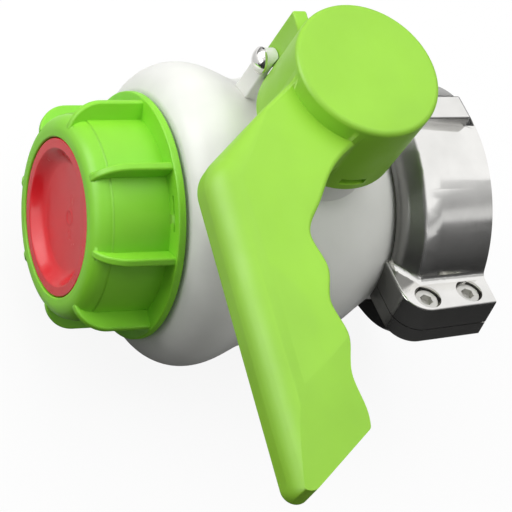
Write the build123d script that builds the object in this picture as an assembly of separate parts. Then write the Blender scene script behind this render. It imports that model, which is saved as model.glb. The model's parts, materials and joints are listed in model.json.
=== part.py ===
from build123d import *
import os
from math import atan2, cos, degrees, radians, sin, sqrt, tan

# Ball valve for the outlet of a bulk liquid container, in millimetres and degrees.
# Pieces are drawn about the point where the stem axis (Z) crosses the flow axis (Y), with the outlet
# towards -Y and the tank towards +Y. At the end they move so that the origin lies on the flow axis
# in the tank-side face of the clamp.

# Clearances
RUN_FIT = 0.06          # radial play of shafts, plugs and seal rings in their bores
SEAT_GAP = 0.12         # between the ball and its seats
PASS_GAP = 0.3          # between faces on different bodies that only pass each other
LOOSE = 0.5             # radial room round pieces that never guide each other

# Ball and waterway
WATERWAY_R = 23.0
BALL_WALL = 11.0        # from the waterway to the ball's outside
BALL_R = WATERWAY_R + BALL_WALL
BALL_ROOM = 0.6         # free space round the ball in its cavity
DRIVE_DEPTH = 6.0       # drive slot in the top of the ball
TANG_T = 9.0            # drive tang of the stem: thickness, length and tip clearance
TANG_L = 22.0
TANG_PLAY = 0.2

# Seats behind and in front of the ball
SEAT_WALL = 7.0
SEAT_R = WATERWAY_R + SEAT_WALL
SEAT_RELIEF = 2.0       # from the ball's contact at the seat's outside to the seat's lip
SEAT_FLOOR = 2.0        # from the ball's contact at the waterway to the seat's back
SEAT_LIP = sqrt(BALL_R**2 - SEAT_R**2) + SEAT_RELIEF
SEAT_BACK = sqrt(BALL_R**2 - WATERWAY_R**2) + SEAT_FLOOR
SEAT_ORING_R = WATERWAY_R + SEAT_WALL / 2   # middle of the seat's loading ring
ORING_SECTION = 1.2     # section radius of every seal ring
ORING_ROOM = 0.1        # play of a seal ring in its groove

# White body
BODY_WALL = 11.4
BOWL_R = BALL_R + BALL_ROOM + BODY_WALL     # bowl round the ball, between its rear edge and the bulge
BOWL_REAR = 22.5
BOWL_FRONT = -8.5
BULGE_RISE = 4.8
CREST_R = BOWL_R + BULGE_RISE               # front bulge
CREST_Y = -32.0
PLUG_STEP = 1.4         # the end piece's plug is wider than the ball's cavity
PLUG_R = BALL_R + BALL_ROOM + PLUG_STEP
NOSE_WALL = 5.0
NOSE_R = PLUG_R + NOSE_WALL
BODY_FRONT = -46.0
NECK_R = 31.6           # neck behind the bowl's cone
NECK_FRONT = 36.4
FLANGE_R = 38.5
FLANGE_FRONT = 51.0
FLANGE_BACK = 54.5
NECK_WELD = 33.0        # where the neck is welded to the bowl

# Outlet end piece, screwed into the front of the body
PLUG_END = -24.0
PLUG_ORING_Y = -30.0
SPIGOT_R = 29.8         # crest radius of the outlet thread
SPIGOT_END = -67.5
SPIGOT_CHAMFER = 1.2

# Tank gasket and clamp
GASKET_R = 37.5
GASKET_BORE_R = 26.0
GASKET_T = 2.0
TANK_FLANGE_T = 4.0     # room left for the flange of the tank outlet
TANK_NECK_R = 33.0
CLAMP_BACK = 66.0
CLAMP_R = 43.2          # at the tank side; the casting's draft makes it larger towards the front
CLAMP_DRAFT = 3.3
CLAMP_SHOULDER = 2.0    # between a front bevel and the drafted outside
HOOD_FRONT = 33.0       # the upper half reaches forward over the neck
HOOD_FRONT_R = 37.5
HOOD_BEVEL_R = 43.0
HOOD_BEVEL_Y = 38.5
HOOD_BORE_R = 35.4
LIP_FRONT = 44.0        # both halves close in on the neck from here
LIP_FRONT_R = 33.5
LIP_BEVEL_R = 42.0
LIP_BEVEL_Y = 51.0
CLAMP_TILT = 13.0       # the split plane is turned by this about the flow axis
SPLIT_GAP = 0.3
LUG_FRONT = 31.1
LUG_REACH_FRONT = 56.8
LUG_REACH_BACK = 54.0
LUG_TOP = 10.4
LUG_BOTTOM = 6.4
LUG_CORNER_R = 9.5
LUG_EDGE = 0.8
LUG_ROOT_R = 2.5        # casting radius between the ring and a lug
BOLT_PLACES = ((50.4, 40.4), (48.6, 57.4))
BOLT_R = 2.5
BOLT_HOLE_R = 2.75
BOLT_HEAD_R = 4.25
BOLT_HEAD_H = 5.0
BOLT_RECESS_R = 4.8
BOLT_RECESS = 6.2
BOLT_KEY = 4.0
BOLT_KEY_DEPTH = 2.6
PAD_SIDES = (-6.8, 3.6)  # raised pad on the crown of the upper half
PAD_ENDS = (42.5, 62.0)
PAD_FOOT = 41.0
PAD_TOP = 48.0
PAD_EDGE = 0.8

# Stem and the boss that guides it
SHAFT_R = 9.0
SHOULDER_R = 13.0
SHOULDER_LIFT = 2.0     # from the ball's top to the shoulder
SHOULDER_T = 3.0
SHOULDER_BOTTOM = BALL_R + SHOULDER_LIFT
SHOULDER_TOP = SHOULDER_BOTTOM + SHOULDER_T
WASHER_T = 1.2
BOSS_TOP = 66.0
BOSS_BEAD_Z = 58.8
BOSS_BEAD_H = 2.2
STEM_ORING_Z = (47.0, 54.0)
SQUARE = 12.4
SQUARE_TOP = 79.5

# Handle hub
HUB_R = 24.5
HUB_TOP = 88.0
HUB_BOTTOM = 55.1
HUB_EDGE = 1.8
SKIRT_EDGE = 0.8
HUB_WALL = 3.0
BEAD_RISE = 0.6         # of the bead on the boss that the hub snaps over
BOSS_BEAD_R = HUB_R - HUB_WALL - LOOSE
BOSS_R = BOSS_BEAD_R - BEAD_RISE
HUB_LID = 5.6
SOCKET_R = 12.0
SOCKET_PLAY = 0.1
HUB_WEBS = 6
WEB_T = 2.0
WINDOW_W = 9.0
WINDOW_H = 2.8
WINDOW_RISE = 3.3       # from the skirt's lower edge
SNAP_REACH = 0.75
SNAP_W = 7.0

# Handle arm and grip, in plan from the stem axis
LEVER_TOP = 81.0
LEVER_BOTTOM = 66.0
GRIP_BACK = 30.6
GRIP_WIDTH = 29.0
GRIP_END_X = 116.0
GRIP_END_SLOPE = 53.0   # the slanted end cut, from the grip's length
GRIP_TIP_R = 4.5
GRIP_HEEL_R = 2.0
ELBOW_X = 27.8
ELBOW_R = 14.0
ARM_ROOT_X = 0.3
ARM_WAIST = ((34.3, -21.1), (43.9, -27.4))
ARM_INNER_ROOT = -20.0  # angle on the hub where the arm's inner edge starts
SCALLOPS = 3
SCALLOP_FIRST = 54.0
SCALLOP_PITCH = 22.4
SCALLOP_DEPTH = 2.5
ROLL_R = 9.5            # round-over along the front of the grip
ARM_EDGE_R = 1.0        # round-over along the arm
ROLL_GROWTH = 24.0      # length before the elbow over which it grows
ROLL_BOW = 0.31         # how far the round-over's middle stays from the corner, from its size
INNER_EDGE_R = 1.5      # along the finger side's upper edge
LOWER_EDGE_R = 1.2
FACET_SLOPE = 11.0      # the top falls away towards the tip
FACET_START = 22.5      # from the end cut
CORE_WALL = 4.0         # underside coring
CORE_ROOF = 3.5
CORE_RIB = 2.4
CORE_BAY = 13.0

# Stop fin on the hub, stop lug on the body and the lock screw
FIN_INSET = 9.5         # of the fin's stop face from the hub's front
FIN_PROUD = 3.0
FIN_FACE = FIN_INSET - HUB_R
FIN_T = 5.0
FIN_REACH = HUB_R + FIN_PROUD
FIN_TOP = 79.3
FIN_BOTTOM = 58.0
FIN_EDGE = 0.8
STOP_INSET = 3.1        # of the lock screw from the hub's side
STOP_X = STOP_INSET - HUB_R
STOP_HALF = 3.7
STOP_TOP_R = 4.1
STOP_T = 4.1
STOP_EDGE = 0.6
STOP_FOOT = 38.0
SCREW_Z = 60.0
SCREW_R = 2.2
SCREW_HEAD_R = 4.4
SCREW_HEAD_H = 3.0
SCREW_RIM = 0.8

# Outlet cap
THREAD_ROOM = 0.6       # between the thread's crests and the cap's bore
CAP_BORE_R = SPIGOT_R + THREAD_ROOM
CAP_WALL = 3.6
CAP_R = CAP_BORE_R + CAP_WALL
CAP_REAR = -47.1
CAP_FLANGE_RISE = 7.0
CAP_FLANGE_R = CAP_R + CAP_FLANGE_RISE
CAP_FLANGE_T = 2.6
CAP_FLANGE_EDGE = 0.6
CAP_STEP = 0.4
CAP_STEP_Y = -68.8
CAP_FRONT = -75.2
CAP_NOSE_R = 5.5
CAP_LIP = 4.2           # holds the red disc in
CAP_MOUTH_R = CAP_BORE_R - CAP_LIP
CAP_MOUTH_EDGE = 0.6
CAP_RIBS = 8
CAP_RIB_T = 2.7
CAP_RIB_RISE = 6.0
CAP_RIB_R = CAP_R + CAP_RIB_RISE
CAP_RIB_FULL = -64.0    # where the rib's arched nose reaches its full height
CAP_RIB_DROP = 2.8      # the nose starts this far inside the plain cylinder
CAP_RIB_START_R = CAP_R - CAP_RIB_DROP
CAP_RIB_START = 0.6     # behind the cap's front
CAP_RIB_PHASE = 38.0
CAP_RIB_EDGE = 0.8
SLIT_OUT = 3.0
SLIT_R = CAP_R + SLIT_OUT
SLIT_W = 0.9
SLIT_DEPTH = 1.2
SLIT_ARC = 18.0
CAP_GASKET_T = 2.0
CAP_GASKET_W = 8.8
CAP_GASKET_BORE_R = SPIGOT_R - CAP_GASKET_W
DISC_FLANGE_T = 2.5
DISC_RECESS = 0.4       # the red rim sits this far behind the cap's front
DISH_RIM = 3.1
DISH_R = CAP_MOUTH_R - DISH_RIM
DISH_DEPTH = 5.0
DISH_WALL = 2.4
DISH_EDGE = 0.5


def outline_face(corners):
    """Closed face through (across, along) corners, where a third number rounds that corner."""
    face = make_face(Polyline(*[corner[:2] for corner in corners], close=True))
    for across, along, radius in [corner for corner in corners if len(corner) == 3]:
        face = fillet(face.vertices().sort_by_distance((across, along, 0))[0], radius)
    return face


def turned(corners):
    """Solid of revolution about the flow axis from (radius, y) corners."""
    return revolve(outline_face(corners), Axis.Y)


def upright(corners):
    """Solid of revolution about the stem axis from (radius, z) corners."""
    return Rot(90, 0, 0) * turned(corners)


def bar(radius, low, high):
    """Round bar on the stem axis between two heights."""
    return Pos(0, 0, low) * Cylinder(radius, high - low, align=(Align.CENTER, Align.CENTER, Align.MIN))


def block(x, y, z):
    """Box between two x, two y and two z values."""
    size = [high - low for low, high in (x, y, z)]
    return Pos(x[0], y[0], z[0]) * Box(*size, align=(Align.MIN, Align.MIN, Align.MIN))


def flow_ring(middle, along):
    """Seal ring round the flow axis."""
    return Pos(0, along, 0) * Rot(90, 0, 0) * Torus(middle, ORING_SECTION)


def groove_half():
    """Half the width of a seal ring's groove."""
    return ORING_SECTION + ORING_ROOM


# Body

def body_outside():
    """Bowl, front bulge, neck and tank flange in one revolve."""
    rear = (sqrt(BOWL_R**2 - BOWL_REAR**2), BOWL_REAR)
    front = (sqrt(BOWL_R**2 - BOWL_FRONT**2), BOWL_FRONT)
    crest = (CREST_R, CREST_Y)
    nose = (NOSE_R, BODY_FRONT)
    bowl = ThreePointArc(rear, (BOWL_R, 0), front)
    swell = Spline(front, crest, tangents=((BOWL_FRONT, -front[0]), (0, -1)))
    bulge = TangentArc(crest, nose, tangent=(0, -1))
    inside = Polyline(nose, (0, BODY_FRONT), (0, FLANGE_BACK), (FLANGE_R, FLANGE_BACK))
    neck = Polyline((FLANGE_R, FLANGE_BACK), (FLANGE_R, FLANGE_FRONT), (NECK_R, FLANGE_FRONT),
                    (NECK_R, NECK_FRONT), rear)
    return revolve(make_face(bowl + swell + bulge + inside + neck), Axis.Y)


def body_inside():
    """Ball cavity, open to the front, with the inlet seat pocket and the waterway to the tank."""
    cavity_r = BALL_R + BALL_ROOM
    pocket_r = SEAT_R + RUN_FIT
    pocket_y = sqrt(cavity_r**2 - pocket_r**2)
    groove_out = SEAT_ORING_R + groove_half()
    groove_in = SEAT_ORING_R - groove_half()
    groove_y = SEAT_BACK + 2 * groove_half()
    plug_bore = PLUG_R + RUN_FIT
    front = Polyline((cavity_r, 0), (cavity_r, PLUG_END), (plug_bore, PLUG_END), (plug_bore, BODY_FRONT),
                     (0, BODY_FRONT), (0, FLANGE_BACK), (WATERWAY_R, FLANGE_BACK), (WATERWAY_R, SEAT_BACK),
                     (groove_in, SEAT_BACK), (groove_in, groove_y), (groove_out, groove_y),
                     (groove_out, SEAT_BACK), (pocket_r, SEAT_BACK), (pocket_r, pocket_y))
    bowl_angle = atan2(pocket_y, pocket_r) / 2
    bowl = ThreePointArc((pocket_r, pocket_y), (cavity_r * cos(bowl_angle), cavity_r * sin(bowl_angle)),
                         (cavity_r, 0))
    return revolve(make_face(front + bowl), Axis.Y)


def stop_lug():
    """Upright tab with a round top, cut back where the hub's skirt turns past it."""
    face = Pos(STOP_X, SCREW_Z) * Circle(STOP_TOP_R)
    face += Pos(STOP_X, (SCREW_Z + STOP_FOOT) / 2) * Rectangle(2 * STOP_HALF, SCREW_Z - STOP_FOOT)
    back = FIN_FACE - PASS_GAP
    tab = extrude(Plane(origin=(0, back, 0), x_dir=(1, 0, 0), z_dir=(0, -1, 0)) * face, STOP_T)
    tab = fillet(tab.faces().sort_by(Axis.Y)[0].edges(), STOP_EDGE)
    return tab - bar(HUB_R + LOOSE, HUB_BOTTOM - LOOSE, HUB_TOP)


def stem_boss():
    """Boss for the stem, with the bead that the hub snaps over."""
    bead_top = BOSS_BEAD_Z + BOSS_BEAD_H
    return upright([(0, BALL_R), (BOSS_R, BALL_R), (BOSS_R, BOSS_BEAD_Z), (BOSS_BEAD_R, BOSS_BEAD_Z),
                    (BOSS_BEAD_R, bead_top - BEAD_RISE), (BOSS_R, bead_top), (BOSS_R, BOSS_TOP),
                    (0, BOSS_TOP)])


def behind_weld():
    """All space on the tank side of the weld."""
    return block((-CREST_R, CREST_R), (NECK_WELD, CLAMP_BACK), (-CREST_R, CREST_R))


def inlet_neck():
    """White neck with the tank flange, welded to the back of the bowl."""
    return (body_outside() & behind_weld()) - body_inside()


def valve_body():
    """White moulding that holds the ball, the stem and the outlet end piece."""
    washer_top = SHOULDER_TOP + WASHER_T
    body = body_outside() - behind_weld() + stem_boss() + stop_lug()
    body -= body_inside()
    body -= bar(SHOULDER_R + LOOSE, 0, washer_top)
    body -= bar(SHAFT_R + RUN_FIT, 0, BOSS_TOP)
    return body - screw_axis() * Cylinder(SCREW_R + RUN_FIT, 2 * STOP_T)


# Ball, seats and seals

def ball():
    """Ball with its waterway across the flow, as it stands when the valve is closed."""
    half = TANG_T / 2 + TANG_PLAY
    slot = block((-half, half), (-BALL_R, BALL_R), (BALL_R - DRIVE_DEPTH, BALL_R))
    return Sphere(BALL_R) - Rot(0, 90, 0) * Cylinder(WATERWAY_R, 2 * BALL_R) - slot


def seat_ring():
    """Inlet seat: a ring with a spherical face that the ball bears on."""
    ring = turned([(WATERWAY_R, SEAT_LIP), (SEAT_R, SEAT_LIP), (SEAT_R, SEAT_BACK), (WATERWAY_R, SEAT_BACK)])
    return ring - Sphere(BALL_R + SEAT_GAP)


def seat_oring():
    """Ring behind the inlet seat that loads it against the ball."""
    return flow_ring(SEAT_ORING_R, SEAT_BACK + groove_half())


def outlet_side(piece):
    """The like piece on the outlet side of the ball."""
    return mirror(piece, about=Plane.XZ)


def plug_oring_middle():
    """Middle radius of the seal ring in the end piece's groove."""
    return PLUG_R - ORING_SECTION


def outlet_end_piece():
    """Screwed-in front end with the outlet spigot and the pocket for the outlet seat."""
    pocket_r = SEAT_R + RUN_FIT
    sleeve_r = BALL_R + BALL_ROOM - RUN_FIT
    groove_out = SEAT_ORING_R + groove_half()
    groove_in = SEAT_ORING_R - groove_half()
    groove_y = -SEAT_BACK - 2 * groove_half()
    piece = turned([(pocket_r, -SEAT_LIP), (sleeve_r, -SEAT_LIP), (sleeve_r, PLUG_END), (PLUG_R, PLUG_END),
                    (PLUG_R, BODY_FRONT), (SPIGOT_R, BODY_FRONT), (SPIGOT_R, SPIGOT_END + SPIGOT_CHAMFER),
                    (SPIGOT_R - SPIGOT_CHAMFER, SPIGOT_END), (WATERWAY_R, SPIGOT_END),
                    (WATERWAY_R, -SEAT_BACK), (groove_in, -SEAT_BACK), (groove_in, groove_y),
                    (groove_out, groove_y), (groove_out, -SEAT_BACK), (pocket_r, -SEAT_BACK)])
    floor = plug_oring_middle() - groove_half()
    groove = turned([(floor, PLUG_ORING_Y - groove_half()), (PLUG_R + LOOSE, PLUG_ORING_Y - groove_half()),
                     (PLUG_R + LOOSE, PLUG_ORING_Y + groove_half()), (floor, PLUG_ORING_Y + groove_half())])
    return piece - groove


def flange_gasket():
    """Flat ring between the valve flange and the tank outlet."""
    back = FLANGE_BACK + GASKET_T
    return turned([(GASKET_BORE_R, FLANGE_BACK), (GASKET_R, FLANGE_BACK), (GASKET_R, back),
                   (GASKET_BORE_R, back)])


# Stem

def stem_oring_middle():
    """Middle radius of a seal ring in the stem's groove."""
    return SHAFT_R - ORING_SECTION


def stem():
    """Stem with a drive tang, a shoulder that keeps it in, two seal grooves and a square head."""
    shaft = upright([(0, SHOULDER_BOTTOM), (SHOULDER_R, SHOULDER_BOTTOM), (SHOULDER_R, SHOULDER_TOP),
                     (SHAFT_R, SHOULDER_TOP), (SHAFT_R, BOSS_TOP), (0, BOSS_TOP)])
    tang_end = BALL_R - DRIVE_DEPTH + TANG_PLAY
    tang = block((-TANG_T / 2, TANG_T / 2), (-TANG_L / 2, TANG_L / 2), (tang_end, SHOULDER_TOP))
    head = block((-SQUARE / 2, SQUARE / 2), (-SQUARE / 2, SQUARE / 2), (SHOULDER_TOP, SQUARE_TOP))
    part = shaft + tang + head
    for height in STEM_ORING_Z:
        floor = stem_oring_middle() - groove_half()
        low = height - groove_half()
        high = height + groove_half()
        part -= bar(SHAFT_R + LOOSE, low, high) - bar(floor, low, high)
    return part


def stem_oring(height):
    """Seal ring round the stem."""
    return Pos(0, 0, height) * Torus(stem_oring_middle(), ORING_SECTION)


def thrust_washer():
    """Washer between the stem's shoulder and the body."""
    top = SHOULDER_TOP + WASHER_T - RUN_FIT
    return bar(SHOULDER_R, SHOULDER_TOP, top) - bar(SHAFT_R + RUN_FIT, SHOULDER_TOP, top)


# Handle

def lever_corners():
    """The plan's main corners: arm root, elbow, tip and heel of the slanted end."""
    front = -GRIP_BACK - GRIP_WIDTH
    root = (ARM_ROOT_X, -sqrt(HUB_R**2 - ARM_ROOT_X**2))
    tip = (GRIP_END_X + GRIP_WIDTH / tan(radians(GRIP_END_SLOPE)), front)
    return root, (ELBOW_X, front), tip, (GRIP_END_X, -GRIP_BACK)


def lever_plan():
    """Outline of arm and grip, with finger scallops along the grip's inner side."""
    root, elbow, tip, heel = lever_corners()
    inner_root = (HUB_R * cos(radians(ARM_INNER_ROOT)), HUB_R * sin(radians(ARM_INNER_ROOT)))
    valley_y = -GRIP_BACK - SCALLOP_DEPTH
    inner = [inner_root, *ARM_WAIST]
    for index in range(SCALLOPS):
        valley_x = SCALLOP_FIRST + index * SCALLOP_PITCH
        inner += [(valley_x, valley_y), (valley_x + SCALLOP_PITCH / 2, -GRIP_BACK)]
    outer = Polyline((0, 0), root, elbow, tip, heel)
    face = make_face(outer + Spline(*inner, heel) + Line(inner_root, (0, 0)))
    for corner, radius in ((elbow, ELBOW_R), (tip, GRIP_TIP_R), (heel, GRIP_HEEL_R)):
        face = fillet(face.vertices().sort_by_distance((*corner, 0))[0], radius)
    return face


def round_over(radius):
    """Face outside a rounded edge: the edge is at the origin, the top to the left and the wall below."""
    bow = ROLL_BOW * radius
    out = 2 * ROLL_R
    edges = Polyline((-radius, 0), (-radius, out), (out, out), (out, -radius), (0, -radius))
    return make_face(edges + ThreePointArc((0, -radius), (-bow, -bow), (-radius, 0)))


def roll_cutter():
    """What the round-over takes off: it grows before the elbow, turns it and follows the grip."""
    root, elbow, tip, _ = lever_corners()
    along = (Vector(*elbow) - Vector(*root)).normalized()
    outward = Vector(along.Y, -along.X)
    turn = degrees(atan2(-along.Y, along.X))
    setback = ELBOW_R * tan(radians(turn / 2))
    lift = Vector(0, 0, LEVER_TOP)
    start = Vector(*root) + lift
    bend = Vector(*elbow) - along * setback + lift
    grow = bend - along * ROLL_GROWTH
    run = Vector(*elbow) + Vector(setback, 0) + lift
    crisp = extrude(Plane(start, outward, -along) * round_over(ARM_EDGE_R), -(grow - start).length)
    full = Plane(bend, outward, -along) * round_over(ROLL_R)
    growing = loft([Plane(grow, outward, -along) * round_over(ARM_EDGE_R), full], ruled=True)
    elbow_turn = revolve(full, Axis(bend - outward * ELBOW_R, (0, 0, 1)), turn)
    length = tip[0] - run.X + ROLL_R
    grip = extrude(Plane(run, (0, -1, 0), (-1, 0, 0)) * round_over(ROLL_R), -length)
    return [crisp, growing, elbow_turn, grip]


def facet_cutter():
    """Wedge that slopes the top of the grip down towards its slanted end."""
    _, _, tip, heel = lever_corners()
    size = 4 * GRIP_WIDTH
    middle = ((tip[0] + heel[0]) / 2, (tip[1] + heel[1]) / 2)
    wedge = Box(size, size, size, align=(Align.MIN, Align.CENTER, Align.MIN))
    wedge = Pos(-FACET_START, 0, 0) * Rot(0, FACET_SLOPE, 0) * wedge
    return Pos(*middle, LEVER_TOP) * Rot(0, 0, 90 - GRIP_END_SLOPE) * wedge


def core_bays():
    """Bays that open the underside of the grip, between cross ribs."""
    _, elbow, _, heel = lever_corners()
    front = elbow[1] + CORE_WALL
    back = -GRIP_BACK - SCALLOP_DEPTH - CORE_WALL
    slope = radians(GRIP_END_SLOPE)
    far = heel[0] + (heel[1] - back) / tan(slope) - CORE_WALL / sin(slope)
    floor = LEVER_BOTTOM - LOOSE
    bays = []
    left = ELBOW_X + ELBOW_R + CORE_WALL
    while left + CORE_BAY < far:
        right = left + CORE_BAY
        roof = LEVER_TOP - CORE_ROOF
        if far - right < FACET_START:
            roof -= FACET_START * tan(radians(FACET_SLOPE))
        bays.append(block((left, right), (front, back), (floor, roof)))
        left = right + CORE_RIB
    return bays


def hub_inside():
    """Hollow of the hub under its lid, with the square socket and its webs left standing."""
    roof = HUB_TOP - HUB_LID
    skirt_r = HUB_R - HUB_WALL
    low = BOSS_TOP + PASS_GAP
    socket = bar(SOCKET_R, low, roof)
    half = SQUARE / 2 + SOCKET_PLAY
    socket -= block((-half, half), (-half, half), (0, SQUARE_TOP + SOCKET_PLAY))
    for index in range(HUB_WEBS):
        web = block((SOCKET_R - WEB_T / 2, skirt_r), (-WEB_T / 2, WEB_T / 2), (low, roof))
        socket += Rot(0, 0, index * 360 / HUB_WEBS) * web
    return bar(skirt_r, HUB_BOTTOM - LOOSE, roof) - socket


def hub_snaps():
    """Two snap noses inside the skirt, which catch under the bead on the boss."""
    skirt_r = HUB_R - HUB_WALL
    top = BOSS_BEAD_Z - PASS_GAP
    root_r = skirt_r + WEB_T / 2
    nose = upright([(skirt_r - SNAP_REACH, top), (root_r, top), (root_r, HUB_BOTTOM + SKIRT_EDGE),
                    (skirt_r, HUB_BOTTOM + SKIRT_EDGE)])
    side = block((0, HUB_R), (-SNAP_W / 2, SNAP_W / 2), (HUB_BOTTOM, HUB_TOP))
    return nose & (side + Rot(0, 0, 180) * side)


def hub_windows():
    """Openings in the skirt above the snap noses."""
    low = HUB_BOTTOM + WINDOW_RISE
    across = block((-2 * HUB_R, 2 * HUB_R), (-WINDOW_W / 2, WINDOW_W / 2), (low, low + WINDOW_H))
    return across - bar(BOSS_R, 0, HUB_TOP)


def lever_blank():
    """Arm and grip before their cuts, rounded below and along the finger side."""
    blank = extrude(Pos(0, 0, LEVER_BOTTOM) * lever_plan(), LEVER_TOP - LEVER_BOTTOM)
    blank = fillet(blank.faces().sort_by(Axis.Z)[-1].edges().filter_by(GeomType.BSPLINE), INNER_EDGE_R)
    return fillet(blank.faces().sort_by(Axis.Z)[0].edges(), LOWER_EDGE_R)


def handle():
    """One moulding: hub with skirt, arm, finger grip and stop fin."""
    lever = lever_blank()
    for cutter in [*roll_cutter(), facet_cutter(), *core_bays()]:
        lever -= cutter
    hub = upright([(0, HUB_BOTTOM), (HUB_R, HUB_BOTTOM, SKIRT_EDGE), (HUB_R, HUB_TOP, HUB_EDGE),
                   (0, HUB_TOP)])
    fin = block((-FIN_REACH, 0), (FIN_FACE, FIN_FACE + FIN_T), (FIN_BOTTOM, FIN_TOP))
    part = hub + lever + fillet(fin.edges(), FIN_EDGE)
    return part - hub_inside() - hub_windows() + hub_snaps()


# Lock screw

def screw_axis():
    """Place of the screw: its axis points along the flow, out of the lug's front face."""
    front = FIN_FACE - PASS_GAP - STOP_T
    return Plane(origin=(STOP_X, front, SCREW_Z), x_dir=(1, 0, 0), z_dir=(0, -1, 0))


def lock_screw():
    """Dome head screw in the stop lug."""
    dome = TangentArc((0, SCREW_HEAD_H), (SCREW_HEAD_R, SCREW_RIM), tangent=(1, 0))
    rest = Polyline((SCREW_HEAD_R, SCREW_RIM), (SCREW_HEAD_R, 0), (SCREW_R, 0), (SCREW_R, -STOP_T),
                    (0, -STOP_T), (0, SCREW_HEAD_H))
    side = make_face(dome + rest)
    return screw_axis() * (Rot(90, 0, 0) * revolve(side, Axis.Y))


# Clamp

def bolt_places():
    """Bolt centres in the clamp's own frame, whose split plane is level."""
    return [(side * x, y) for side in (1, -1) for x, y in BOLT_PLACES]


def clamp_room():
    """Everything inside the clamp: the neck, both flanges and the tank outlet, with room round them."""
    groove_back = FLANGE_BACK + GASKET_T + TANK_FLANGE_T + LOOSE
    groove_r = FLANGE_R + LOOSE
    lip_r = NECK_R + LOOSE
    return turned([(0, LUG_FRONT), (HOOD_BORE_R, LUG_FRONT), (HOOD_BORE_R, LIP_FRONT), (lip_r, LIP_FRONT),
                   (lip_r, FLANGE_FRONT), (groove_r, FLANGE_FRONT), (groove_r, groove_back),
                   (TANK_NECK_R, groove_back), (TANK_NECK_R, CLAMP_BACK), (0, CLAMP_BACK)])


def clamp_outside(front, bevel):
    """Filled ring with a front face, a bevel and a drafted outside that ends at the tank side."""
    shoulder = bevel[1] + CLAMP_SHOULDER
    shoulder_r = CLAMP_R + (CLAMP_BACK - shoulder) * tan(radians(CLAMP_DRAFT))
    return turned([(0, front[1]), front, bevel, (shoulder_r, shoulder), (CLAMP_R, CLAMP_BACK),
                   (0, CLAMP_BACK)])


def clamp_side(low, high):
    """Slab of space between two heights of the clamp."""
    reach = 2 * LUG_REACH_FRONT
    return block((-reach, reach), (0, 2 * CLAMP_BACK), (low, high))


def clamp_lugs(low, high):
    """Bolt lugs on both sides between two heights, with a large round front corner."""
    plan = outline_face([(0, LUG_FRONT), (LUG_REACH_FRONT, LUG_FRONT, LUG_CORNER_R),
                         (LUG_REACH_BACK, CLAMP_BACK), (0, CLAMP_BACK)])
    lug = Pos(0, 0, low) * extrude(plan, high - low)
    return lug + mirror(lug, about=Plane.YZ)


def rounded_lugs(half, level):
    """Round the lugs' outer face at a height: its open edges, but not the one at the tank side."""
    def is_open(edge):
        middle = edge.center()
        outermost = abs(middle.X) > CLAMP_R + LUG_EDGE or middle.Y < LUG_FRONT + LUG_EDGE
        on_level = abs(middle.Z - level) < RUN_FIT
        plain = edge.geom_type in (GeomType.LINE, GeomType.CIRCLE)
        return on_level and plain and outermost and middle.Y < CLAMP_BACK - LUG_EDGE
    return fillet(half.edges().filter_by(is_open), LUG_EDGE)


def lug_roots(half):
    """Edges where the ring rises out of the upper half's lugs."""
    curved = half.edges().filter_by(GeomType.HYPERBOLA)
    return curved.filter_by(lambda edge: abs(edge.center().Z - LUG_TOP) < RUN_FIT)


def crown_pad():
    """Raised pad on the crown of the upper half."""
    pad = block(PAD_SIDES, PAD_ENDS, (PAD_FOOT, PAD_TOP))
    return fillet(pad.edges().filter_by(Axis.Z) + pad.faces().sort_by(Axis.Z)[-1].edges(), PAD_EDGE)


def clamp_upper_half():
    """Upper half with recessed bolt holes and the raised pad on its crown."""
    split = SPLIT_GAP / 2
    hood = clamp_outside((HOOD_FRONT_R, HOOD_FRONT), (HOOD_BEVEL_R, HOOD_BEVEL_Y))
    half = (hood & clamp_side(split, 2 * CLAMP_R)) + clamp_lugs(split, LUG_TOP)
    half = rounded_lugs(fillet(lug_roots(half), LUG_ROOT_R), LUG_TOP)
    half = half + crown_pad() - clamp_room()
    for x, y in bolt_places():
        half -= Pos(x, y, 0) * bar(BOLT_HOLE_R, 0, LUG_TOP)
        half -= Pos(x, y, 0) * bar(BOLT_RECESS_R, LUG_TOP - BOLT_RECESS, LUG_TOP)
    return half


def clamp_lower_half():
    """Lower half with the tapped holes."""
    split = -SPLIT_GAP / 2
    lip = clamp_outside((LIP_FRONT_R, LIP_FRONT), (LIP_BEVEL_R, LIP_BEVEL_Y))
    half = (lip & clamp_side(-2 * CLAMP_R, split)) + clamp_lugs(-LUG_BOTTOM, split)
    half = rounded_lugs(half, -LUG_BOTTOM) - clamp_room()
    for x, y in bolt_places():
        half -= Pos(x, y, 0) * bar(BOLT_R + RUN_FIT, -LUG_BOTTOM, 0)
    return half


def clamp_bolt():
    """Socket head bolt, with its head's seat at the height it has in the upper half."""
    seat = LUG_TOP - BOLT_RECESS
    top = seat + BOLT_HEAD_H
    bolt = bar(BOLT_R, -LUG_BOTTOM, seat) + bar(BOLT_HEAD_R, seat, top)
    key = RegularPolygon(BOLT_KEY / 2, 6, major_radius=False)
    return bolt - extrude(Pos(0, 0, top - BOLT_KEY_DEPTH) * key, BOLT_KEY_DEPTH)


def clamp_bolts():
    """The four bolts."""
    return [Pos(x, y, 0) * clamp_bolt() for x, y in bolt_places()]


def tilted(piece):
    """Turn a clamp piece about the flow axis to where the split plane lies."""
    return Rot(0, -CLAMP_TILT, 0) * piece


# Outlet cap

def disc_back():
    """Rear face of the red disc's flange, where its gasket lies."""
    return SPIGOT_END - CAP_GASKET_T


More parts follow.
